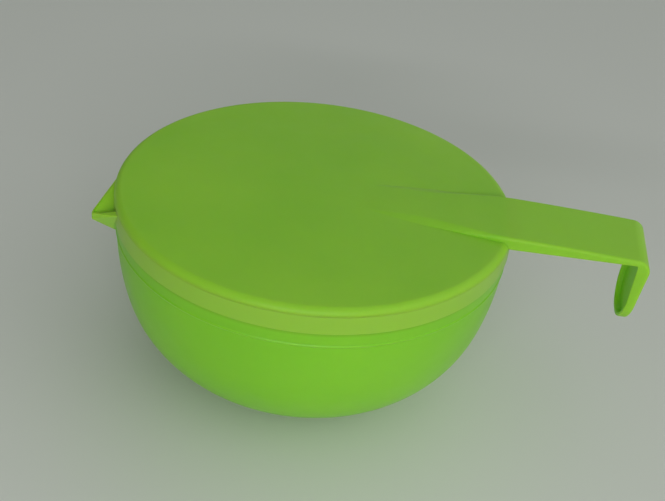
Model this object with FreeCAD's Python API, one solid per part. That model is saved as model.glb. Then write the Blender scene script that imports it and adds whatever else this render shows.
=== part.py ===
import FreeCAD, Part

import math
import os

# A covered serving bowl for chips and dip, in moulded plastic: an open bowl with a rim collar and a
# V-shaped pouring lip, a cap lid with a hooked channel handle moulded in one with it, and a loose
# dip cup that stands on the bowl's floor.  Millimetres, +Z up.  The origin is the centre of the
# bowl's foot, and the lid's handle points along +X.

V = FreeCAD.Vector
UP = V(0, 0, 1)
CENTRE = V(0, 0, 0)

# Bowl
collar_radius = 100.0         # outside of the rim collar, the widest round of the bowl
collar_height = 9.5
collar_thickness = 2.0
collar_step = 1.1             # how far the collar stands out from the wall under it
bowl_height = 97.0            # foot to the collar's top, where the lid is seated
bowl_wall = 2.0
wall_arc_radius = 140.5       # side of the bowl, seen in section
wall_arc_drop = 5.0           # how far that arc's centre lies below the collar's lower edge
foot_radius = 33.5            # flat foot, and flat floor inside
seam_chamfer = 0.6            # on the collar's top edge, and on the lid's lower edge

# Pouring lip
lip_turn = 18.7               # degrees from -X towards -Y
lip_half_angle = 10.2         # half of the notch at the collar, in degrees
lip_reach = 11.5              # beyond the collar
lip_droop = 9.5               # tip below the collar's top
lip_keel_depth = 20.5         # root of the keel below the collar's top
lip_tip_height = 3.5          # depth of the V at its tip
lip_wall = 1.8
lip_round = 2.0               # on the keel and the tip
lip_channel_round = 0.8       # on the bottom of the V, inside

# Location ring on the bowl's floor
cup_ring_height = 2.5
cup_ring_width = 1.8

# Lid
lid_plate = 2.0
lid_shoulder = 3.7            # radius of the lid's rounded shoulder
lid_dome = 1.5                # rise of the top from shoulder to centre
plug_height = 6.0
plug_thickness = 1.8
plug_clearance = 0.3          # between the plug ring and the collar

# Handle
handle_width = 40.0
handle_start = 24.0           # inner end of the bar, from the axis
handle_start_lap = 0.15       # how far that end lies under the lid's top, which it then rises out of
handle_rise = 6.7             # top of the handle above the seam, where it crosses the rim
handle_reach = 166.4          # outer face of the handle's turned-down end, from the axis
handle_drop = 0.7             # how much lower the top is at its outer end
handle_wall = 2.0
handle_edge_round = 1.4
handle_corner = 9.5           # outer radius where the handle turns down
flange_rise_root = 0.3        # lower edge of the side flanges above the seam, at the rim
flange_rise_end = 3.0         # the same at the outer end
rim_web = 1.2                 # wall that closes the channel at the rim

# Hooked tongue
tongue_length = 43.0          # from the handle's top to the tip
tongue_lean = 2.5             # how far its tip leans inwards
tongue_depth_top = 7.2        # depth of its side flanges at the handle
tongue_depth_tip = 3.2
tongue_tip_width = 35.0       # width where the round tip starts

# Dip cup
cup_height = 52.0
cup_foot_margin = 2.5         # from the edge of the bowl's flat floor to the cup's foot
cup_flare = 13.0              # how much wider the cup is at its top than at its foot
cup_wall = 1.8
cup_foot_round = 4.0
cup_lip_round = 1.0
cup_lip = 2.4                 # width of the cup's rim bead beyond its wall
cup_lip_height = 3.0
cup_seat_clearance = 0.3      # between the cup's foot and the location ring

# What follows from those sizes
collar_low = bowl_height - collar_height
wall_top_radius = collar_radius - collar_step
wall_arc_z = collar_low - wall_arc_drop
wall_arc_x = wall_top_radius - math.sqrt(wall_arc_radius ** 2 - wall_arc_drop ** 2)
# the round between side and foot touches the foot's plane at foot_radius and the side's arc
foot_arc_radius = (wall_arc_radius ** 2 - wall_arc_z ** 2 - (foot_radius - wall_arc_x) ** 2) / (
    2 * (wall_arc_radius - wall_arc_z)
)
collar_inner = collar_radius - collar_thickness
plug_radius = collar_inner - plug_clearance
plug_inner = plug_radius - plug_thickness
lid_radius = collar_radius
shoulder_start = lid_radius - lid_shoulder
shoulder_top = bowl_height + lid_shoulder
lid_top = shoulder_top + lid_dome
dome_radius = (shoulder_start ** 2 + lid_dome ** 2) / (2 * lid_dome)
handle_top = bowl_height + handle_rise
handle_end_top = handle_top - handle_drop
handle_half = handle_width / 2
cup_foot_radius = foot_radius - cup_foot_margin
cup_top_radius = cup_foot_radius + cup_flare
cup_slope = cup_flare / cup_height


def arc(start, through, end):
    return Part.Arc(start, through, end).toShape()


def line(start, end):
    return Part.LineSegment(start, end).toShape()


def section(radius, z):
    return V(radius, 0, z)


def revolve(edges):
    face = Part.Face(Part.Wire(edges))
    return face.revolve(CENTRE, UP, 360)


def closed(points):
    return Part.Wire(Part.makePolygon(points + [points[0]]))


def on_circle(centre_x, centre_z, radius, angle):
    return section(centre_x + radius * math.cos(angle), centre_z + radius * math.sin(angle))


def bowl_side(inset):
    # The side from the collar's lower edge down to the foot: a wall arc, tangent to a foot arc,
    # both moved inwards by inset.  Returns the edges, their first point and their last.
    wall_r = wall_arc_radius - inset
    foot_r = foot_arc_radius - inset
    join = math.atan2(foot_arc_radius - wall_arc_z, foot_radius - wall_arc_x)
    start = math.asin(wall_arc_drop / wall_arc_radius)
    bottom = -math.pi / 2
    top_point = on_circle(wall_arc_x, wall_arc_z, wall_r, start)
    join_point = on_circle(wall_arc_x, wall_arc_z, wall_r, join)
    foot_point = on_circle(foot_radius, foot_arc_radius, foot_r, bottom)
    wall_mid = on_circle(wall_arc_x, wall_arc_z, wall_r, (start + join) / 2)
    foot_mid = on_circle(foot_radius, foot_arc_radius, foot_r, (join + bottom) / 2)
    edges = [arc(top_point, wall_mid, join_point), arc(join_point, foot_mid, foot_point)]
    return edges, top_point, foot_point


def lip_point(radial, across, z):
    angle = math.radians(180 + lip_turn)
    outward = V(math.cos(angle), math.sin(angle), 0)
    sideways = V(-math.sin(angle), math.cos(angle), 0)
    return outward * radial + sideways * across + UP * z


def solid_of(corners, loops):
    faces = [Part.Face(closed([corners[i] for i in loop])) for loop in loops]
    return Part.Solid(Part.Shell(faces))


def lip_wedge(inset, inner_radial, rounding):
    # A drooping wedge of V section that points outwards from inner_radial to its tip.  inset moves
    # its sides, keel and tip inwards, so that the same wedge is the lip's outside and its channel.
    half = math.radians(lip_half_angle)
    root = collar_radius * math.cos(half)
    half_width = collar_radius * math.sin(half)
    run = collar_radius + lip_reach - root
    tip_top = bowl_height - lip_droop
    side_slope = math.hypot(half_width, lip_keel_depth)
    width = half_width - inset * side_slope / lip_keel_depth
    keel = bowl_height - lip_keel_depth + inset * side_slope / half_width
    tip = root + run - inset * math.hypot(half_width, run) / half_width
    tip_low = tip_top - lip_tip_height + inset
    corners = [
        lip_point(inner_radial, width, bowl_height),
        lip_point(inner_radial, -width, bowl_height),
        lip_point(inner_radial, 0, keel),
        lip_point(root, width, bowl_height),
        lip_point(root, -width, bowl_height),
        lip_point(root, 0, keel),
        lip_point(tip, 0, tip_top),
        lip_point(tip, 0, tip_low),
    ]
    back = (0, 2, 1)
    tops = [(0, 1, 4, 3), (3, 4, 6)]
    sides = [(0, 3, 5, 2), (1, 2, 5, 4), (3, 6, 7), (4, 7, 6), (3, 7, 5), (4, 5, 7)]
    wedge = solid_of(corners, [back] + tops + sides)
    outward = lip_point(1, 0, 0)
    middle = [edge for edge in wedge.Edges if lies_in_middle(edge, outward)]
    return wedge.makeFillet(rounding, middle)


def lies_in_middle(edge, outward):
    # True for the keel and the tip's edge, which lie in the lip's own middle plane.
    return all(abs(outward.cross(vertex.Point).z) < 0.001 for vertex in edge.Vertexes)


def bowl_outside():
    side, side_top, side_foot = bowl_side(0)
    low_out = section(collar_radius, collar_low)
    high_out = section(collar_radius, bowl_height - seam_chamfer)
    high_in = section(collar_radius - seam_chamfer, bowl_height)
    edges = [
        line(section(0, bowl_height), high_in),
        line(high_in, high_out),
        line(high_out, low_out),
        line(low_out, side_top),
        *side,
        line(side_foot, CENTRE),
        line(CENTRE, section(0, bowl_height)),
    ]
    return revolve(edges)


def bowl_hollow():
    side, side_top, side_foot = bowl_side(bowl_wall)
    top = bowl_height
    ledge = collar_low + collar_thickness
    edges = [
        line(section(0, top), section(collar_inner, top)),
        line(section(collar_inner, top), section(collar_inner, ledge)),
        line(section(collar_inner, ledge), section(side_top.x, ledge)),
        line(section(side_top.x, ledge), side_top),
        *side,
        line(side_foot, section(0, bowl_wall)),
        line(section(0, bowl_wall), section(0, top)),
    ]
    return revolve(edges)


def cup_ring():
    inner = cup_foot_radius + cup_slope * cup_ring_height + cup_seat_clearance
    outer = inner + cup_ring_width
    base = V(0, 0, bowl_wall / 2)
    height = bowl_wall / 2 + cup_ring_height
    return Part.makeCylinder(outer, height, base).cut(Part.makeCylinder(inner, height, base))


def make_bowl():
    outside = bowl_outside().fuse(lip_wedge(0, collar_inner - bowl_wall, lip_round))
    channel = lip_wedge(lip_wall, collar_inner - 3 * bowl_wall, lip_channel_round)
    shell = outside.cut(bowl_hollow()).cut(channel)
    return shell.fuse(cup_ring()).removeSplitter()


def lid_blank():
    # Cap, shoulder and rim of the lid with the plug ring under it, without the handle.
    rim_under = section(lid_radius - seam_chamfer, bowl_height)
    shoulder_mid = on_circle(shoulder_start, bowl_height, lid_shoulder, math.pi / 4)
    shoulder_end = section(shoulder_start, shoulder_top)
    low_angle = math.asin(seam_chamfer / lid_shoulder)
    rim_low = on_circle(shoulder_start, bowl_height, lid_shoulder, low_angle)
    plug_low = bowl_height - plug_height
    under_edge = dome_z(plug_inner) - lid_plate
    edges = [
        arc(rim_low, shoulder_mid, shoulder_end),
        arc(shoulder_end, section(shoulder_start / 2, dome_z(shoulder_start / 2)), section(0, lid_top)),
        line(section(0, lid_top), section(0, lid_top - lid_plate)),
        arc(
            section(0, lid_top - lid_plate),
            section(plug_inner / 2, dome_z(plug_inner / 2) - lid_plate),
            section(plug_inner, under_edge),
        ),
        line(section(plug_inner, under_edge), section(plug_inner, plug_low)),
        line(section(plug_inner, plug_low), section(plug_radius, plug_low)),
        line(section(plug_radius, plug_low), section(plug_radius, bowl_height)),
        line(section(plug_radius, bowl_height), rim_under),
        line(rim_under, rim_low),
    ]
    return revolve(edges)


def dome_z(radius):
    return lid_top - dome_radius + math.sqrt(dome_radius ** 2 - radius ** 2)


def side_view(x, z):
    return V(x, 0, z)


def tongue_face(z, inset):
    # The tongue's outer face at height z, moved inwards by inset.
    turn_z = handle_end_top - handle_corner
    straight = tongue_length - handle_corner
    return side_view(handle_reach - inset - tongue_lean * (turn_z - z) / straight, z)


def handle_back(inset, start_depth, low_z):
    # Side view of the handle's outside, moved inwards by inset: the arched top, which starts at
    # start_depth under the lid's top, the turned-down corner and the tongue's outer face to low_z.
    turn_x = handle_reach - handle_corner
    turn_z = handle_end_top - handle_corner
    corner = handle_corner - inset
    slant = corner * math.sqrt(0.5)
    start = side_view(handle_start, dome_z(handle_start) - start_depth)
    top_middle = side_view((handle_start + turn_x) / 2, handle_top - inset)
    top_end = side_view(turn_x, handle_end_top - inset)
    corner_middle = side_view(turn_x + slant, turn_z + slant)
    corner_end = tongue_face(turn_z, inset)
    low = tongue_face(low_z, inset)
    edges = [arc(start, top_middle, top_end), arc(top_end, corner_middle, corner_end), line(corner_end, low)]
    return edges, start, low


def across(shape_edges, half_width):
    face = Part.Face(Part.Wire(shape_edges))
    face.translate(V(0, half_width, 0))
    return face.extrude(V(0, -2 * half_width, 0))


def handle_blank():
    # The handle as a solid bar, cut in side view to the lower edges of its flanges.
    tip_z = handle_end_top - tongue_length
    back, start, tip = handle_back(0, handle_start_lap, tip_z)
    path = [
        tip,
        side_view(tip.x - tongue_depth_tip, tip_z),
        side_view(handle_reach - tongue_depth_top, bowl_height + flange_rise_end),
        side_view(lid_radius, bowl_height + flange_rise_root),
        side_view(plug_inner, bowl_height + flange_rise_root),
        side_view(handle_start, dome_z(handle_start) - lid_plate / 2),
        start,
    ]
    edges = back + [line(a, b) for a, b in zip(path, path[1:])]
    return across(edges, handle_half)


def under_handle(half_width, low_z):
    # Everything below the handle's wall, down to low_z.  It starts just under the lid's plate.
    back, start, low = handle_back(handle_wall, lid_plate + handle_start_lap, low_z)
    foot = side_view(handle_start, low_z)
    return across(back + [line(low, foot), line(foot, start)], half_width)


def tongue_outline(inset):
    # Front view of the handle and tongue: full width above, tapering to a round tip.
    half = handle_half - inset
    tip_half = tongue_tip_width / 2 - inset
    tip_z = handle_end_top - tongue_length
    round_z = tip_z + inset + tip_half
    high = handle_top + handle_corner
    taper_z = handle_end_top - handle_corner
    left = [V(0, -half, high), V(0, -half, taper_z), V(0, -tip_half, round_z)]
    right = [V(0, tip_half, round_z), V(0, half, taper_z), V(0, half, high)]
    edges = [
        line(left[0], left[1]),
        line(left[1], left[2]),
        arc(left[2], V(0, 0, round_z - tip_half), right[0]),
        line(right[0], right[1]),
        line(right[1], right[2]),
        line(right[2], left[0]),
    ]
    face = Part.Face(Part.Wire(edges))
    return face.extrude(V(2 * handle_reach, 0, 0))


def channel_cut():
    # Hollow of the channel outside the rim, open downwards and, in the tongue, inwards.
    low_z = handle_end_top - 2 * tongue_length
    hollow = under_handle(handle_half, low_z)
    rim = Part.makeCylinder(lid_radius + rim_web, 4 * tongue_length, V(0, 0, low_z))
    return hollow.cut(rim).common(tongue_outline(handle_wall))


def wedge_pocket():
    # Hollow under the raised root of the handle, inside the plug ring, at an even wall.
    low_z = bowl_height - plug_height
    hollow = under_handle(handle_half - handle_wall, low_z)
    inside = Part.makeCylinder(plug_inner - rim_web, 2 * plug_height, V(0, 0, low_z))
    return hollow.common(inside)


def round_top_edges(shape):
    picked = []
    for edge in shape.Edges:
        box = edge.BoundBox
        on_side = abs(abs(edge.CenterOfMass.y) - handle_half) < 0.01 and box.YLength < 0.01
        outer = box.ZMax > handle_end_top - 0.01 and box.XLength > handle_corner / 2
        if on_side and outer:
            picked.append(edge)
    return shape.makeFillet(handle_edge_round, picked)


def make_lid():
    handle = round_top_edges(handle_blank()).common(tongue_outline(0))
    whole = lid_blank().fuse(handle)
    return whole.cut(channel_cut()).cut(wedge_pocket())


def rings(shape, radius, z):
    # The circular edges of shape at that radius and height.
    found = []
    for edge in shape.Edges:
        middle = edge.CenterOfMass
        if isinstance(edge.Curve, Part.Circle) and abs(edge.Curve.Radius - radius) < 0.01:
            if abs(middle.z - z) < 0.01:
                found.append(edge)
    return found


def make_dip_cup():
    # A tapered cup with a bead round its rim, standing in the location ring.
    floor = bowl_wall
    top = floor + cup_height
    bead_low = top - cup_lip_height
    bead_radius = cup_top_radius + cup_lip
    outer = [
        CENTRE + UP * floor,
        section(cup_foot_radius, floor),
        section(cup_top_radius - cup_slope * cup_lip_height, bead_low),
        section(bead_radius, bead_low),
        section(bead_radius, top),
        CENTRE + UP * top,
    ]
    inner = [
        CENTRE + UP * (floor + cup_wall),
        section(cup_foot_radius - cup_wall, floor + cup_wall),
        section(cup_top_radius - cup_wall, top),
        CENTRE + UP * top,
    ]
    body = Part.Face(closed(outer)).revolve(CENTRE, UP, 360)
    hollow = Part.Face(closed(inner)).revolve(CENTRE, UP, 360)
    body = body.makeFillet(cup_foot_round, rings(body, cup_foot_radius, floor))
    bead = rings(body, bead_radius, top) + rings(body, bead_radius, bead_low)
    body = body.makeFillet(cup_lip_round, bead)
    corner = rings(hollow, cup_foot_radius - cup_wall, floor + cup_wall)
    hollow = hollow.makeFillet(cup_foot_round - cup_wall / 2, corner)
    return body.cut(hollow)


def main():
    os.makedirs("parts", exist_ok=True)
    nodes = {
        "bowl": make_bowl(),
        "lid": make_lid(),
        "dip_cup": make_dip_cup(),
    }
    for name, shape in nodes.items():
        solids = shape.Solids
        print(name, "solids", len(solids), "valid", shape.isValid(), "volume", round(shape.Volume))
        shape.exportStep("parts/" + name + ".step")


main()
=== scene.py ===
import math

import bmesh
import bpy
from mathutils import Matrix, Vector


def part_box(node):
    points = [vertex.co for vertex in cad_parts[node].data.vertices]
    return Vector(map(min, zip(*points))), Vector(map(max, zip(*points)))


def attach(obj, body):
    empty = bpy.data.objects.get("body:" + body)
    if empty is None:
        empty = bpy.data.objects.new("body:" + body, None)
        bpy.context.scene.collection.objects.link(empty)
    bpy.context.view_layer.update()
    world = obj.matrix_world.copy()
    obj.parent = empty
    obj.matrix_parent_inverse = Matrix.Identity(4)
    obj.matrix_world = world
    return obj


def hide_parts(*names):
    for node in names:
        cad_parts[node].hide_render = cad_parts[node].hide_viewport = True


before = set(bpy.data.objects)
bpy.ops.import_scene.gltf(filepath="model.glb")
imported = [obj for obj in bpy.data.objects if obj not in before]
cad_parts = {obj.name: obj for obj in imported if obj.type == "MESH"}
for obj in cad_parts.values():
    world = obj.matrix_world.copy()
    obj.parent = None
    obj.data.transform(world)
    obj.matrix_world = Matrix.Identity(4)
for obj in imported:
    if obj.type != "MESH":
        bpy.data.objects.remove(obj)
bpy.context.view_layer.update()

# Metres and radians.  The bowl stands on z = 0, its axis is the Z axis, and the lid's handle points
# along +X.

# Camera
SENSOR_MM = 36.0
LENS_MM = 59.549
CAMERA_AZIMUTH = 0.0821
CAMERA_ELEVATION = 0.5895
CAMERA_ROLL = 0.1249
CAMERA_DISTANCE = 0.5691
CAMERA_TARGET = Vector((0.0119, -0.0020, 0.0675))

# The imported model
BOWL_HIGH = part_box("bowl")[1]
LID_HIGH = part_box("lid")[1]
CUP_LOW, CUP_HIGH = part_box("dip_cup")

# Fineness of the meshes
TURNS = 200                   # columns of a turned piece
ROUND_STEPS = 4               # of a small edge round
ROUND_BULGE = 0.3             # an edge round of two steps stays this share of its radius off the corner
WALL_STEPS = 22               # of each of the two arcs of the bowl's wall
BEAD_STEPS = 12
BEAD_SPAN = 4                 # the wall is finer this many bead widths either side of the bead
DOME_STEPS = 16
SHOULDER_STEPS = 12
UNDERSIDE_STEPS = 10
STATION_LENGTH = 0.0025       # between two sections of the handle
BEND_STEPS = 12
TONGUE_STEPS = 6
TIP_STEP = 6                  # degrees, round the tongue's tip
TIP_LAST = 84                 # just short of 90, where both sides would meet
SIDE_STEPS = 8
CUP_ROUND_STEPS = 6
SAME_PLACE = 0.000002         # vertices nearer to each other than this are made one
CREASE_ANGLE = math.radians(32)

# Bowl
RIM_RADIUS = BOWL_HIGH.x
SEAM = BOWL_HIGH.z            # the lid's seat on the collar
COLLAR_HEIGHT = 0.0095
COLLAR_WALL = 0.002
COLLAR_STEP = 0.0011          # how far the collar stands out from the wall
GROOVE_DEPTH = 0.0005         # of the fine groove in the wall, right under the collar
GROOVE_HEIGHT = 0.0009
BOWL_WALL = 0.002
FOOT_RADIUS = 0.0335
FOOT_ARC_RADIUS = 0.06299
WALL_ARC_RADIUS = 0.1405
WALL_ARC_DROP = 0.005         # its centre lies this far below the collar
FOOT_RECESS = 0.0006          # the middle of the foot lies this much higher than its ring
FOOT_RING = 0.003
GATE_RADIUS = 0.0024          # dimple of the moulding gate, in the middle of the foot
BEAD_HEIGHT = 0.00045         # fine bead on the wall, under the collar
BEAD_WIDTH = 0.00055
BEAD_LOW = 0.0075             # below the collar
RING_RADIUS = 0.031925        # location ring for the cup, inside
RING_WIDTH = 0.0018
RING_HEIGHT = 0.0025
EDGE = 0.0006                 # radius of the small edge rounds
SEAM_EDGE = 0.00015           # and of those where lid and collar meet

# Pouring lip
LIP_TURN = math.radians(180 + 18.7)     # from the handle
LIP_HALF_ANGLE = math.radians(10.2)
LIP_REACH = 0.0115
LIP_DROOP = 0.0095            # from the seam down to its tip
LIP_KEEL_DEPTH = 0.0205       # at its root
LIP_TIP_HEIGHT = 0.0035
LIP_WALL = 0.0011
LIP_CHANNEL_SHARE = 0.44      # depth of the lip's channel, as a share of the lip's own
LIP_ROUND = 0.002             # along the keel
LIP_CHANNEL_ROUND = 0.0008
LIP_SETBACK = 0.0002          # the lip's wedge starts this far outside the collar's inner face
LIP_NOTCH = 0.006             # how far the channel runs on inside the collar
LIP_SHARP_ANGLE = math.radians(45)

# Lid
LID_PLATE = 0.002
SHOULDER = 0.0037
DOME = 0.0015
PLUG_HEIGHT = 0.006
PLUG_WALL = 0.0018
PLUG_GAP = 0.0003

# Handle
HALF_WIDTH = 0.020
HANDLE_START = 0.024          # its inner end, from the bowl's axis
HANDLE_LAP = 0.00015          # and how far that lies under the lid's top
HANDLE_RISE = 0.0067          # of its middle above the seam
HANDLE_DROP = 0.0007          # from there to its outer end
HANDLE_WALL = 0.002
HANDLE_EDGE = 0.0014          # radius of its long upper edges
CORNER = 0.0068               # radius of the bend down into the tongue
FLANGE_RISE_ROOT = 0.0003     # height of the flanges' lower edge above the seam, at the rim
FLANGE_RISE_END = 0.003       # and at the tongue
FLANGE_BLEND = 6              # a higher power turns more sharply from flange to tongue
RIM_WEB = 0.0014              # between the rim and the channel under the handle
POCKET_MARGIN = 0.0034        # between the plug ring and the pocket under the handle's root
TONGUE_LENGTH = 0.043
TONGUE_LEAN = 0.0025          # how far its tip comes back towards the bowl
TONGUE_DEPTH_TOP = 0.0064     # of its flanges; less than the corner radius
TONGUE_DEPTH_TIP = 0.0032
TONGUE_TIP_HALF = 0.0175
ROOT_SOFT_START = 0.050       # inside of this the handle's sides are at their softest
ROOT_SOFT_END = 0.100         # from here outwards they are upright
ROOT_SLOPE = 0.0062           # width of a soft side
ROOT_NARROWING = 0.0023       # how much narrower the handle's foot is there
ROOT_SLOPE_POWER = 1.4        # 1 would be a straight slope; more makes its top rounder

# Dip cup
CUP_FOOT_MARGIN = 0.0025      # the cup's foot is this much smaller than the bowl's
CUP_FOOT_RING = 0.006
CUP_FOOT_ROUND = 0.003
CUP_FLARE = 0.013
CUP_WALL = 0.0018
CUP_BEAD_HEIGHT = 0.003

# Plastic
PLASTIC_IOR = 1.49
SCATTER_WEIGHT = 0.8
SCATTER_RADIUS = (1.0, 1.0, 0.4)     # how far red, green and blue travel, as shares of the scale
BOWL_SCATTER = 0.002                 # the scale
LID_SCATTER = 0.004
SPECULAR_LEVEL = 0.25                # the plastic is a little duller than a polished one
NOISE_LOW = 0.3                      # nearly all of a noise lies between these
NOISE_HIGH = 0.7
CLOUD_SCALE = 14
CLOUD_DETAIL = 4
HANDLING_SCALE = 60
HANDLING_DETAIL = 3
HANDLING_LESS = 0.04                 # how far handling takes the roughness down and up
HANDLING_MORE = 0.05
WAVE_SCALE = 35
WAVE_HEIGHT = 0.0006
GRAIN_SCALE = 1800
PLAIN_DETAIL = 2                     # of waves and grain
FINE_GRAIN = 0.00001
SATIN_GRAIN = 0.00002
BOWL_LIGHT = (0.265, 0.66, 0.033)
BOWL_DARK = (0.235, 0.615, 0.027)
BOWL_PAINTED_SHADE = (0.235, 0.55, 0.025)     # painted shade: darker in a band right under the collar, over the groove
BOWL_THICK = (0.335, 0.62, 0.060)    # the collar
# painted light: a lighter green over the whole pouring lip, lifting the shade in its channel as light
# through its thin walls would
LIP_PAINTED_LIGHT = (0.37, 0.73, 0.035)
BOWL_ROUGHNESS = 0.34
LID_LIGHT = (0.33, 0.70, 0.043)
LID_DARK = (0.285, 0.65, 0.036)
LID_THICK = (0.325, 0.66, 0.042)     # the shoulder and the handle
LID_ROUGHNESS = 0.44

# Stage
FLOOR_COLOUR = (0.75, 0.76, 0.73)
FLOOR_ROUGHNESS = 0.6
FLOOR_SIZE = 6
WORLD_COLOUR = (0.95, 1.0, 0.94)
WORLD_LEFT = 0.16                    # how bright the surroundings are on either side
WORLD_RIGHT = 0.50
WORLD_TURN = (-0.6, 0.2)             # between these directions it goes from left to right
KEY_PLACE = (1.15, -0.95, 0.95)
KEY_TARGET = (0, 0, 0.05)
KEY_SIZE = (2.0, 1.5)
KEY_POWER = 4.3
STRIP_PLACE = (0.06, -0.9, 0.42)
STRIP_TARGET = (0, 0, 0.08)
STRIP_SIZE = (0.7, 0.04)
STRIP_POWER = 2.6

# What follows from those sizes
COLLAR_LOW = SEAM - COLLAR_HEIGHT
COLLAR_INNER = RIM_RADIUS - COLLAR_WALL
PLUG_RADIUS = COLLAR_INNER - PLUG_GAP
PLUG_INNER = PLUG_RADIUS - PLUG_WALL
SHOULDER_START = RIM_RADIUS - SHOULDER
LID_TOP = SEAM + SHOULDER + DOME
DOME_RADIUS = (SHOULDER_START ** 2 + DOME ** 2) / (2 * DOME)
HANDLE_REACH = LID_HIGH.x
HANDLE_END_TOP = SEAM + HANDLE_RISE - HANDLE_DROP
TURN_X = HANDLE_REACH - CORNER
TURN_Z = HANDLE_END_TOP - CORNER
ARCH_LENGTH = TURN_X - HANDLE_START
BEND_LENGTH = CORNER * math.pi / 2
TIP_Z = HANDLE_END_TOP - TONGUE_LENGTH
ROUND_Z = TIP_Z + TONGUE_TIP_HALF


def smooth(value):
    t = min(max(value, 0), 1)
    return t * t * (3 - 2 * t)


def mix(a, b, t):
    return a + (b - a) * t


def arc_points(centre, radius, start, end, count):
    # Points on a circle from the angle start to the angle end, in degrees.
    angles = [math.radians(mix(start, end, i / count)) for i in range(count + 1)]
    return [(centre[0] + radius * math.cos(a), centre[1] + radius * math.sin(a)) for a in angles]


def rounded(corners, steps=ROUND_STEPS):
    # A polyline through corners (r, z, radius), each corner with a radius turned into an arc.
    points = []
    for i, (r, z, radius) in enumerate(corners):
        if radius == 0:
            points.append((r, z))
            continue
        here = Vector((r, z))
        back = (Vector(corners[i - 1][:2]) - here).normalized()
        ahead = (Vector(corners[i + 1][:2]) - here).normalized()
        half = back.angle(ahead) / 2
        centre = here + (back + ahead).normalized() * (radius / math.sin(half))
        first = here + back * (radius / math.tan(half)) - centre
        turn = math.copysign(math.pi - 2 * half, first.y * back.x - first.x * back.y)
        for step in range(steps + 1):
            a = turn * step / steps
            spun = Vector((
                first.x * math.cos(a) - first.y * math.sin(a),
                first.x * math.sin(a) + first.y * math.cos(a),
            ))
            points.append(tuple(centre + spun))
    return points


def new_object(name, vertices, faces):
    mesh = bpy.data.meshes.new(name)
    mesh.from_pydata(vertices, [], faces)
    made = bmesh.new()
    made.from_mesh(mesh)
    bmesh.ops.recalc_face_normals(made, faces=made.faces)
    made.to_mesh(mesh)
    made.free()
    thing = bpy.data.objects.new(name, mesh)
    bpy.context.scene.collection.objects.link(thing)
    return thing


def lathe(name, profile):
    # Turns a line of (r, z) points, both ends of which lie on the axis, into a closed solid.
    rings = profile[1:-1]
    vertices = [(0, 0, profile[0][1]), (0, 0, profile[-1][1])]
    for turn in range(TURNS):
        angle = 2 * math.pi * turn / TURNS
        vertices += [(r * math.cos(angle), r * math.sin(angle), z) for r, z in rings]
    count = len(rings)
    faces = []
    for turn in range(TURNS):
        here = 2 + turn * count
        there = 2 + (turn + 1) % TURNS * count
        faces.append((0, here, there))
        faces.append((1, there + count - 1, here + count - 1))
        for i in range(count - 1):
            faces.append((here + i, here + i + 1, there + i + 1, there + i))
    return new_object(name, vertices, faces)


def loft(name, sections):
    # A closed solid through closed sections with the same number of points.
    count = len(sections[0])
    vertices = [point for section in sections for point in section]
    faces = [tuple(range(count)), tuple(range(len(vertices) - count, len(vertices)))]
    for row in range(len(sections) - 1):
        for i in range(count):
            a = row * count + i
            b = row * count + (i + 1) % count
            faces.append((a, b, b + count, a + count))
    return new_object(name, vertices, faces)


def combine(target, operation, tool):
    change = target.modifiers.new(operation, "BOOLEAN")
    change.operation = operation
    change.object = tool
    change.solver = "EXACT"
    bpy.context.view_layer.objects.active = target
    with bpy.context.temp_override(object=target, active_object=target, selected_objects=[target]):
        bpy.ops.object.modifier_apply(modifier=change.name)
    bpy.data.objects.remove(tool)


def finish_surface(piece):
    # Smooth shading with creases at real edges, and no double vertices or loose edges.
    made = bmesh.new()
    made.from_mesh(piece.data)
    bmesh.ops.remove_doubles(made, verts=made.verts, dist=SAME_PLACE)
    loose = [edge for edge in made.edges if not edge.link_faces]
    bmesh.ops.delete(made, geom=loose, context="EDGES")
    for face in made.faces:
        face.smooth = True
    for edge in made.edges:
        edge.smooth = len(edge.link_faces) == 2 and edge.calc_face_angle(0) < CREASE_ANGLE
    made.to_mesh(piece.data)
    made.free()
    weigh = piece.modifiers.new("weigh", "WEIGHTED_NORMAL")
    weigh.keep_sharp = True


# Bowl

def bowl_side(inset):
    # The wall from the collar down to the foot: a wall arc and a foot arc, moved inwards by inset.
    wall_z = COLLAR_LOW - WALL_ARC_DROP
    wall_r = RIM_RADIUS - COLLAR_STEP - math.sqrt(WALL_ARC_RADIUS ** 2 - WALL_ARC_DROP ** 2)
    start = math.degrees(math.asin(WALL_ARC_DROP / WALL_ARC_RADIUS))
    join = math.degrees(math.atan2(FOOT_ARC_RADIUS - wall_z, FOOT_RADIUS - wall_r))
    wall = arc_points((wall_r, wall_z), WALL_ARC_RADIUS - inset, start, join, WALL_STEPS)
    foot = arc_points((FOOT_RADIUS, FOOT_ARC_RADIUS), FOOT_ARC_RADIUS - inset, join, -90, WALL_STEPS)
    return wall + foot[1:]


def with_bead(wall):
    # The wall's points with a fine bead added, a smooth swelling a little way under the collar.
    middle = COLLAR_LOW - BEAD_LOW
    span = BEAD_SPAN * BEAD_WIDTH
    fine = []
    for (r0, z0), (r1, z1) in zip(wall, wall[1:]):
        steps = BEAD_STEPS if z0 > middle - span and z1 < middle + span else 1
        for step in range(steps):
            t = step / steps
            z = mix(z0, z1, t)
            swelling = BEAD_HEIGHT * math.exp(-((z - middle) / BEAD_WIDTH) ** 2)
            fine.append((mix(r0, r1, t) + swelling, z))
    return fine + [wall[-1]]


def foot_profile():
    # The underside, from the gate dimple in its middle to the ring that the bowl stands on.
    return rounded([
        (0, FOOT_RECESS / 3, 0),
        (GATE_RADIUS, FOOT_RECESS / 3, EDGE / 4),
        (GATE_RADIUS + EDGE, FOOT_RECESS, EDGE / 4),
        (FOOT_RADIUS - FOOT_RING - EDGE, FOOT_RECESS, EDGE / 2),
        (FOOT_RADIUS - FOOT_RING, 0, EDGE / 3),
        (FOOT_RADIUS, 0, 0),
    ])


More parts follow.
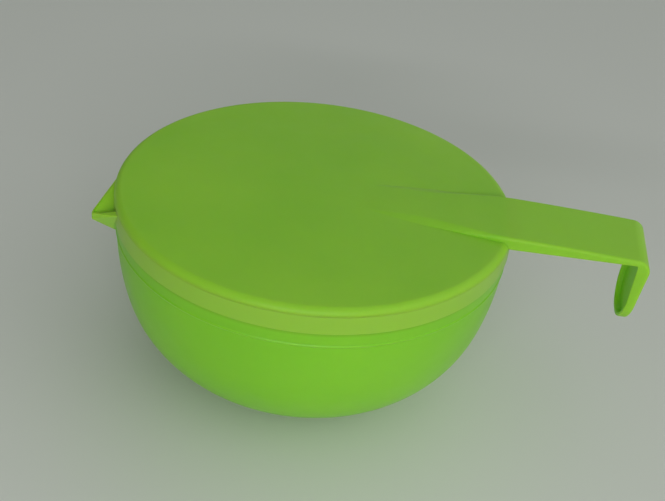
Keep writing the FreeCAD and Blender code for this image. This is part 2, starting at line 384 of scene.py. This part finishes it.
def collar_profile(outer, inner):
    # From the point outer of the outside wall, over the groove and the collar, to the point inner
    # of the inside wall.
    neck = RIM_RADIUS - COLLAR_STEP
    shelf = COLLAR_LOW + COLLAR_WALL
    return rounded([
        (*outer, 0),
        (neck, COLLAR_LOW - GROOVE_HEIGHT, GROOVE_DEPTH / 2),
        (neck - GROOVE_DEPTH, COLLAR_LOW - GROOVE_HEIGHT / 2, GROOVE_DEPTH / 4),
        (neck - GROOVE_DEPTH, COLLAR_LOW, GROOVE_DEPTH / 4),
        (RIM_RADIUS, COLLAR_LOW, EDGE / 2),
        (RIM_RADIUS, SEAM, SEAM_EDGE),
        (COLLAR_INNER, SEAM, EDGE / 2),
        (COLLAR_INNER, shelf, EDGE / 2),
        (inner[0], shelf, EDGE / 2),
        (*inner, 0),
    ])


def floor_profile(outer):
    # From the point outer of the inside wall, over the location ring, to the middle of the floor.
    ring_outer = RING_RADIUS + RING_WIDTH
    return rounded([
        (*outer, 0),
        (ring_outer, BOWL_WALL, EDGE / 2),
        (ring_outer, BOWL_WALL + RING_HEIGHT, EDGE),
        (RING_RADIUS, BOWL_WALL + RING_HEIGHT, EDGE),
        (RING_RADIUS, BOWL_WALL, EDGE / 2),
        (0, BOWL_WALL, 0),
    ])


def bowl_profile():
    # Section of the bowl's one wall, from the middle of its underside round the rim to its floor.
    upwards = with_bead(bowl_side(0))[-2::-1]
    outside = [point for point in upwards if point[1] < COLLAR_LOW - 2 * GROOVE_HEIGHT]
    inside = [point for point in bowl_side(BOWL_WALL) if point[0] > RING_RADIUS + RING_WIDTH + EDGE]
    rim = collar_profile(outside[-1], inside[0])
    floor = floor_profile(inside[-1])
    return foot_profile() + outside[:-1] + rim[:-1] + inside[:-1] + floor


def lip_point(radial, across, z):
    outward = Vector((math.cos(LIP_TURN), math.sin(LIP_TURN), 0))
    sideways = Vector((-math.sin(LIP_TURN), math.cos(LIP_TURN), 0))
    return outward * radial + sideways * across + Vector((0, 0, z))


def lip_corners(inner_radial, inset, lift, depth_share):
    # The corners of a drooping wedge of V section: left, right and keel at inner_radial and again
    # at the lip's root, then the top and the foot of its tip.  inset moves its sides, keel and tip
    # inwards, so that the same wedge is the lip's outside and its channel.  lift carries its sides
    # on above the lip's top.
    root = RIM_RADIUS * math.cos(LIP_HALF_ANGLE)
    half_width = RIM_RADIUS * math.sin(LIP_HALF_ANGLE)
    run = RIM_RADIUS + LIP_REACH - root
    depth = LIP_KEEL_DEPTH * depth_share
    side_slope = math.hypot(half_width, depth)
    keel = SEAM - depth + inset * side_slope / half_width
    over = SEAM + lift
    width = (half_width - inset * side_slope / depth) * (over - keel) / (SEAM + inset - keel)
    tip = root + run - inset * math.hypot(half_width, run) / half_width
    tip_top = SEAM - LIP_DROOP
    corners = []
    for radial in (inner_radial, root):
        corners.append(lip_point(radial, width, over))
        corners.append(lip_point(radial, -width, over))
        corners.append(lip_point(radial, 0, keel))
    corners.append(lip_point(tip, 0, tip_top + lift))
    corners.append(lip_point(tip, 0, tip_top - LIP_TIP_HEIGHT * depth_share + inset))
    return corners


def lip_wedge(name, corners, rounding):
    # The solid between lip_corners, rounded along its keel and its tip.
    faces = [
        (0, 2, 1), (0, 1, 4, 3), (3, 4, 6), (0, 3, 5, 2), (1, 2, 5, 4),
        (3, 6, 7), (4, 7, 6), (3, 7, 5), (4, 5, 7),
    ]
    keel_and_tip = ({2, 5}, {5, 7}, {7, 6})
    wedge = new_object(name, corners, faces)
    made = bmesh.new()
    made.from_mesh(wedge.data)
    made.verts.ensure_lookup_table()
    middle = [edge for edge in made.edges if {v.index for v in edge.verts} in keel_and_tip]
    bmesh.ops.bevel(made, geom=middle, offset=rounding, segments=ROUND_STEPS, profile=0.5, affect="EDGES")
    made.to_mesh(wedge.data)
    made.free()
    return wedge


def soften_lip_edges(bowl):
    # Takes the sharpness off the lip's free edges, outside the collar.
    made = bmesh.new()
    made.from_mesh(bowl.data)
    bmesh.ops.remove_doubles(made, verts=made.verts, dist=SAME_PLACE)
    sharp = []
    for edge in made.edges:
        outside = all(math.hypot(v.co.x, v.co.y) > RIM_RADIUS + EDGE / 3 for v in edge.verts)
        if outside and edge.calc_face_angle(0) > LIP_SHARP_ANGLE:
            sharp.append(edge)
    bmesh.ops.bevel(
        made, geom=sharp, offset=EDGE / 2, segments=3, profile=0.5, affect="EDGES", clamp_overlap=True
    )
    made.to_mesh(bowl.data)
    made.free()


def make_bowl():
    bowl = lathe("bowl_shell", bowl_profile())
    outside = lip_corners(COLLAR_INNER + LIP_SETBACK, 0, 0, 1)
    combine(bowl, "UNION", lip_wedge("lip", outside, LIP_ROUND))
    inside = lip_corners(COLLAR_INNER - LIP_NOTCH, LIP_WALL, 2 * LIP_WALL, LIP_CHANNEL_SHARE)
    combine(bowl, "DIFFERENCE", lip_wedge("channel", inside, LIP_CHANNEL_ROUND))
    soften_lip_edges(bowl)
    return bowl


# Lid

def dome_z(radius):
    return LID_TOP - DOME_RADIUS + math.sqrt(DOME_RADIUS ** 2 - min(radius, SHOULDER_START) ** 2)


def lid_profile():
    # Section of the cap from the middle of its top, over the shoulder and the plug ring, to the
    # middle of its underside.
    radii = [SHOULDER_START * i / DOME_STEPS for i in range(DOME_STEPS)]
    dome = [(radius, dome_z(radius)) for radius in radii]
    last = math.degrees(math.asin(2 * SEAM_EDGE / SHOULDER))
    shoulder = arc_points((SHOULDER_START, SEAM), SHOULDER, 90, last, SHOULDER_STEPS)
    radii = [PLUG_INNER * i / UNDERSIDE_STEPS for i in range(UNDERSIDE_STEPS - 1, -1, -1)]
    under = [(radius, dome_z(radius) - LID_PLATE) for radius in radii]
    rim = rounded([
        (*shoulder[-1], 0),
        (RIM_RADIUS, SEAM, SEAM_EDGE),
        (PLUG_RADIUS, SEAM, 0),
        (PLUG_RADIUS, SEAM - PLUG_HEIGHT, EDGE),
        (PLUG_INNER, SEAM - PLUG_HEIGHT, EDGE),
        (PLUG_INNER, dome_z(PLUG_INNER) - LID_PLATE, 2 * EDGE),
        (*under[0], 0),
    ])
    return dome + shoulder[:-1] + rim + under[1:]


def arch_z(x):
    # The handle's top: a shallow parabola from just under the lid's top to the turned-down corner.
    t = (x - HANDLE_START) / ARCH_LENGTH
    first = dome_z(HANDLE_START) - HANDLE_LAP
    rise = SEAM + HANDLE_RISE - (first + HANDLE_END_TOP) / 2
    return mix(first, HANDLE_END_TOP, t) + 4 * rise * t * (1 - t)


def handle_point(along, across, depth):
    # A point under the handle's outside: along its length from the inner end, over the corner and
    # down the tongue, across its width, and depth into it.
    if along <= ARCH_LENGTH:
        x = HANDLE_START + along
        return (x, across, arch_z(x) - depth)
    if along <= ARCH_LENGTH + BEND_LENGTH:
        angle = math.pi / 2 - (along - ARCH_LENGTH) / CORNER
        radius = CORNER - depth
        return (TURN_X + radius * math.cos(angle), across, TURN_Z + radius * math.sin(angle))
    down = along - ARCH_LENGTH - BEND_LENGTH
    return (HANDLE_REACH - TONGUE_LEAN * down / (TURN_Z - TIP_Z) - depth, across, TURN_Z - down)


def flange_depth(along):
    # How far the side flanges reach in from the handle's outside.
    x = HANDLE_START + along
    if x <= SHOULDER_START - SHOULDER:
        return arch_z(x) - dome_z(math.hypot(x, HALF_WIDTH)) + LID_PLATE / 2
    end_x = HANDLE_REACH - TONGUE_DEPTH_TOP
    if along <= ARCH_LENGTH:
        t = (x - RIM_RADIUS) / (end_x - RIM_RADIUS)
        return arch_z(x) - SEAM - mix(FLANGE_RISE_ROOT, FLANGE_RISE_END, max(t, 0))
    if along < ARCH_LENGTH + BEND_LENGTH:
        angle = math.pi / 2 - (along - ARCH_LENGTH) / CORNER
        to_flange = (SEAM + FLANGE_RISE_END - TURN_Z) / math.sin(angle)
        to_tongue = (end_x - TURN_X) / math.cos(angle)
        nearer = (to_flange ** -FLANGE_BLEND + to_tongue ** -FLANGE_BLEND) ** (-1 / FLANGE_BLEND)
        return CORNER - nearer
    t = (along - ARCH_LENGTH - BEND_LENGTH) / (TURN_Z - TIP_Z)
    return mix(TONGUE_DEPTH_TOP, TONGUE_DEPTH_TIP, min(t, 1))


def handle_stations(first_x):
    # (along, half width there, angle round the tip) from first_x to the tongue's round tip.
    first = first_x - HANDLE_START
    turned = ARCH_LENGTH + BEND_LENGTH
    straight = TURN_Z - ROUND_Z
    count = math.ceil((ARCH_LENGTH - first) / STATION_LENGTH)
    stations = [(mix(first, ARCH_LENGTH, i / count), HALF_WIDTH, 0) for i in range(count)]
    stations += [(ARCH_LENGTH + BEND_LENGTH * i / BEND_STEPS, HALF_WIDTH, 0) for i in range(BEND_STEPS)]
    for i in range(TONGUE_STEPS):
        t = i / TONGUE_STEPS
        stations.append((turned + straight * t, mix(HALF_WIDTH, TONGUE_TIP_HALF, t), 0))
    for degrees in range(0, TIP_LAST + 1, TIP_STEP):
        stations.append((turned + straight, TONGUE_TIP_HALF, math.radians(degrees)))
    return stations


def root_softness(along):
    # 1 where the handle's sides rise softly out of the lid, 0 where they are upright.
    x = HANDLE_START + along
    return 1 - smooth((x - ROOT_SOFT_START) / (ROOT_SOFT_END - ROOT_SOFT_START))


def section_points(station, outline):
    # The whole closed section from its (inset, depth) outline of one side, and its mirror image.
    along, half, angle = station
    points = []
    for inset, depth in outline:
        reach = half - inset
        points.append(handle_point(along + reach * math.sin(angle), reach * math.cos(angle), depth))
    mirrored = [(x, -y, z) for x, y, z in reversed(points)]
    return points + mirrored


def side_outline(softness, height, inset, edge):
    # The top of one side: a quarter round where the side is upright, a slope where it is soft.
    width = mix(edge, ROOT_SLOPE, softness)
    drop = mix(edge, max(height, edge), softness)
    narrow = inset + ROOT_NARROWING * softness
    outline = []
    for step in range(SIDE_STEPS + 1):
        t = step / SIDE_STEPS
        angle = math.pi / 2 * t
        across = mix(1 - math.sin(angle), 1 - t, softness)
        down = mix(1 - math.cos(angle), t ** ROOT_SLOPE_POWER, softness)
        outline.append((narrow + width * across, drop * down))
    return outline


def handle_solid():
    sections = []
    for station in handle_stations(HANDLE_START):
        softness = root_softness(station[0])
        low = flange_depth(station[0])
        height = low - LID_PLATE / 2 - HANDLE_LAP
        top = side_outline(softness, height, 0, HANDLE_EDGE)
        narrow = top[-1][0]
        bottom = [
            (narrow, low - EDGE),
            (narrow + EDGE * ROUND_BULGE, low - EDGE * ROUND_BULGE),
            (narrow + EDGE, low),
        ]
        sections.append(section_points(station, top + bottom))
    return loft("handle", sections)


def channel_solid(name, first_x, last_x, below):
    # What is taken out from under the handle between first_x and last_x, or its tip.  Where the
    # flanges are no deeper than the handle's wall, it runs outside the handle and takes nothing.
    sections = []
    for station in handle_stations(first_x):
        if HANDLE_START + station[0] > last_x:
            break
        softness = root_softness(station[0])
        low = max(flange_depth(station[0]), HANDLE_WALL + HANDLE_EDGE)
        outline = side_outline(softness, low - LID_PLATE, HANDLE_WALL, HANDLE_EDGE / 2)
        top = [(inset, depth + HANDLE_WALL) for inset, depth in outline]
        narrow = top[-1][0]
        bottom = [(narrow, low - EDGE), (narrow - EDGE, low + EDGE / 4), (narrow - EDGE, low + below)]
        sections.append(section_points(station, top + bottom))
    return loft(name, sections)


def make_lid():
    lid = lathe("lid_shell", lid_profile())
    combine(lid, "UNION", handle_solid())
    channel = channel_solid("channel", RIM_RADIUS + RIM_WEB, math.inf, 2 * EDGE)
    combine(lid, "DIFFERENCE", channel)
    pocket = channel_solid("pocket", HANDLE_START, PLUG_INNER - POCKET_MARGIN, 2 * LID_PLATE)
    combine(lid, "DIFFERENCE", pocket)
    return lid


# Dip cup

def make_cup():
    foot = FOOT_RADIUS - CUP_FOOT_MARGIN
    low = CUP_LOW.z
    top = CUP_HIGH.z
    brim = CUP_HIGH.x
    top_radius = foot + CUP_FLARE
    under_bead = top_radius - CUP_FLARE * CUP_BEAD_HEIGHT / (top - low)
    profile = rounded([
        (0, low + FOOT_RECESS, 0),
        (foot - CUP_FOOT_RING, low + FOOT_RECESS, 0),
        (foot - CUP_FOOT_RING + EDGE, low, 0),
        (foot, low, CUP_FOOT_ROUND),
        (under_bead, top - CUP_BEAD_HEIGHT, EDGE),
        (brim, top - CUP_BEAD_HEIGHT, 2 * EDGE),
        (brim, top, 2 * EDGE),
        (top_radius - CUP_WALL, top, 2 * EDGE),
        (foot - CUP_WALL, low + CUP_WALL, CUP_FOOT_ROUND),
        (0, low + CUP_WALL, 0),
    ], CUP_ROUND_STEPS)
    return lathe("cup_shell", profile)


# Materials

def noise(tree, coordinates, scale, detail):
    node = tree.nodes.new("ShaderNodeTexNoise")
    node.inputs["Scale"].default_value = scale
    node.inputs["Detail"].default_value = detail
    tree.links.new(coordinates, node.inputs["Vector"])
    return node.outputs["Fac"]


def spread(tree, value, low, high):
    # Maps a noise's usual range to low..high.
    node = tree.nodes.new("ShaderNodeMapRange")
    node.inputs["From Min"].default_value = NOISE_LOW
    node.inputs["From Max"].default_value = NOISE_HIGH
    node.inputs["To Min"].default_value = low
    node.inputs["To Max"].default_value = high
    tree.links.new(value, node.inputs["Value"])
    return node.outputs["Result"]


def bump(tree, height, distance, normal=None):
    node = tree.nodes.new("ShaderNodeBump")
    node.inputs["Distance"].default_value = distance
    tree.links.new(height, node.inputs["Height"])
    if normal is not None:
        tree.links.new(normal, node.inputs["Normal"])
    return node.outputs["Normal"]


def step_up(tree, value, start, end):
    node = tree.nodes.new("ShaderNodeMapRange")
    node.interpolation_type = "SMOOTHSTEP"
    node.inputs["From Min"].default_value = start
    node.inputs["From Max"].default_value = end
    tree.links.new(value, node.inputs["Value"])
    return node.outputs["Result"]


def blend(tree, factor, first, second):
    # first and second are colours, or sockets that carry one.
    node = tree.nodes.new("ShaderNodeMix")
    node.data_type = "RGBA"
    tree.links.new(factor, node.inputs["Factor"])
    for socket, value in (("A", first), ("B", second)):
        if isinstance(value, tuple):
            node.inputs[socket].default_value = (*value, 1)
        else:
            tree.links.new(value, node.inputs[socket])
    return node.outputs["Result"]


def distance_from_axis(tree, place):
    flat = tree.nodes.new("ShaderNodeVectorMath")
    flat.operation = "MULTIPLY"
    flat.inputs[1].default_value = (1, 1, 0)
    tree.links.new(place, flat.inputs[0])
    length = tree.nodes.new("ShaderNodeVectorMath")
    length.operation = "LENGTH"
    tree.links.new(flat.outputs["Vector"], length.inputs[0])
    return length.outputs["Value"]


def above(tree, place, low, high):
    # 0 below the height low, 1 above the height high.
    parts = tree.nodes.new("ShaderNodeSeparateXYZ")
    tree.links.new(place, parts.inputs["Vector"])
    return step_up(tree, parts.outputs["Z"], low, high)


# Mask of the painted shade right under the collar: it fades in over the band just below the groove, and
# the collar's tint covers it higher up.
def painted_shade_under_collar(tree, place):
    return above(tree, place, COLLAR_LOW - 3 * GROOVE_HEIGHT, COLLAR_LOW - GROOVE_HEIGHT)


def collar(tree, place):
    return above(tree, place, COLLAR_LOW - EDGE / 3, COLLAR_LOW + EDGE / 3)


# Mask of the painted light on the pouring lip: everything outside the rim.
def painted_light_on_lip(tree, place):
    return step_up(tree, distance_from_axis(tree, place), RIM_RADIUS, RIM_RADIUS + EDGE)


def cup_rim(tree, place):
    return above(tree, place, CUP_HIGH.z - 2 * CUP_BEAD_HEIGHT, CUP_HIGH.z - CUP_BEAD_HEIGHT / 2)


def shoulder_and_handle(tree, place):
    return step_up(tree, distance_from_axis(tree, place), SHOULDER_START - SHOULDER, RIM_RADIUS)


def cloudy_plastic(name, light, dark, tints, roughness, grain, scatter):
    # Moulded plastic that is cloudy all through: clouds of a lighter and a darker green, the tints of
    # its thick places and any painted shade and painted light in the list, a fine grain, and the slight
    # unevenness of a moulded wall.
    material = bpy.data.materials.new(name)
    material.use_nodes = True
    tree = material.node_tree
    shader = tree.nodes["Principled BSDF"]
    place = tree.nodes.new("ShaderNodeTexCoord").outputs["Object"]
    clouds = spread(tree, noise(tree, place, CLOUD_SCALE, CLOUD_DETAIL), 0, 1)
    colour = blend(tree, clouds, dark, light)
    for where, tint in tints:
        colour = blend(tree, where(tree, place), colour, tint)
    tree.links.new(colour, shader.inputs["Base Color"])
    touched = noise(tree, place, HANDLING_SCALE, HANDLING_DETAIL)
    handling = spread(tree, touched, roughness - HANDLING_LESS, roughness + HANDLING_MORE)
    tree.links.new(handling, shader.inputs["Roughness"])
    waves = bump(tree, noise(tree, place, WAVE_SCALE, PLAIN_DETAIL), WAVE_HEIGHT)
    relief = bump(tree, noise(tree, place, GRAIN_SCALE, PLAIN_DETAIL), grain, waves)
    tree.links.new(relief, shader.inputs["Normal"])
    shader.inputs["IOR"].default_value = PLASTIC_IOR
    shader.inputs["Specular IOR Level"].default_value = SPECULAR_LEVEL
    shader.inputs["Subsurface Weight"].default_value = SCATTER_WEIGHT
    shader.inputs["Subsurface Radius"].default_value = SCATTER_RADIUS
    shader.inputs["Subsurface Scale"].default_value = scatter
    return material


def plain(name, colour, roughness):
    material = bpy.data.materials.new(name)
    material.use_nodes = True
    shader = material.node_tree.nodes["Principled BSDF"]
    shader.inputs["Base Color"].default_value = (*colour, 1)
    shader.inputs["Roughness"].default_value = roughness
    return material


def place_piece(piece, node, material):
    finish_surface(piece)
    piece.data.materials.append(material)
    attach(piece, node)
    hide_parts(node)


# Stage

def make_floor():
    bpy.ops.mesh.primitive_plane_add(size=FLOOR_SIZE, location=(0, 0, 0))
    floor = bpy.context.object
    floor.name = "floor"
    floor.data.materials.append(plain("floor_grey", FLOOR_COLOUR, FLOOR_ROUGHNESS))


def area_light(name, location, target, size, power):
    data = bpy.data.lights.new(name, "AREA")
    data.shape = "RECTANGLE"
    data.size, data.size_y = size
    data.energy = power
    light = bpy.data.objects.new(name, data)
    light.location = location
    light.rotation_euler = (Vector(target) - Vector(location)).to_track_quat("-Z", "Y").to_euler()
    bpy.context.scene.collection.objects.link(light)


def make_world():
    world = bpy.data.worlds.new("studio")
    world.use_nodes = True
    tree = world.node_tree
    tree.nodes["Background"].inputs["Color"].default_value = (*WORLD_COLOUR, 1)
    parts = tree.nodes.new("ShaderNodeSeparateXYZ")
    tree.links.new(tree.nodes.new("ShaderNodeTexCoord").outputs["Generated"], parts.inputs["Vector"])
    sides = tree.nodes.new("ShaderNodeMapRange")
    sides.interpolation_type = "SMOOTHSTEP"
    sides.inputs["From Min"].default_value, sides.inputs["From Max"].default_value = WORLD_TURN
    sides.inputs["To Min"].default_value = WORLD_LEFT
    sides.inputs["To Max"].default_value = WORLD_RIGHT
    tree.links.new(parts.outputs["X"], sides.inputs["Value"])
    tree.links.new(sides.outputs["Result"], tree.nodes["Background"].inputs["Strength"])
    bpy.context.scene.world = world
    bpy.context.scene.view_settings.view_transform = "Standard"


def make_camera():
    level = math.cos(CAMERA_ELEVATION)
    back = Vector((
        math.sin(CAMERA_AZIMUTH) * level,
        -math.cos(CAMERA_AZIMUTH) * level,
        math.sin(CAMERA_ELEVATION),
    ))
    right = (-back).cross(Vector((0, 0, 1))).normalized()
    up = right.cross(-back)
    turned_right = math.cos(CAMERA_ROLL) * right + math.sin(CAMERA_ROLL) * up
    turned_up = -math.sin(CAMERA_ROLL) * right + math.cos(CAMERA_ROLL) * up
    data = bpy.data.cameras.new("camera")
    data.lens = LENS_MM
    data.sensor_width = SENSOR_MM
    camera = bpy.data.objects.new("camera", data)
    turn = Matrix((turned_right, turned_up, back)).transposed().to_4x4()
    camera.matrix_world = Matrix.Translation(CAMERA_TARGET + back * CAMERA_DISTANCE) @ turn
    bpy.context.scene.collection.objects.link(camera)
    bpy.context.scene.camera = camera


# The bowl's paler collar, with painted shade under the collar and painted light on the pouring lip.
bowl_tints_and_painted_light = [(painted_shade_under_collar, BOWL_PAINTED_SHADE), (collar, BOWL_THICK), (painted_light_on_lip, LIP_PAINTED_LIGHT)]
lid_tints = [(shoulder_and_handle, LID_THICK)]
cup_tints = [(cup_rim, BOWL_THICK)]
bowl_plastic = cloudy_plastic(
    "bowl_plastic", BOWL_LIGHT, BOWL_DARK, bowl_tints_and_painted_light, BOWL_ROUGHNESS, FINE_GRAIN, BOWL_SCATTER
)
lid_plastic = cloudy_plastic(
    "lid_plastic", LID_LIGHT, LID_DARK, lid_tints, LID_ROUGHNESS, SATIN_GRAIN, LID_SCATTER
)
cup_plastic = cloudy_plastic(
    "cup_plastic", BOWL_LIGHT, BOWL_DARK, cup_tints, BOWL_ROUGHNESS, FINE_GRAIN, BOWL_SCATTER
)
place_piece(make_bowl(), "bowl", bowl_plastic)
place_piece(make_lid(), "lid", lid_plastic)
place_piece(make_cup(), "dip_cup", cup_plastic)
make_floor()
area_light("key", KEY_PLACE, KEY_TARGET, KEY_SIZE, KEY_POWER)
area_light("strip", STRIP_PLACE, STRIP_TARGET, STRIP_SIZE, STRIP_POWER)
make_world()
make_camera()
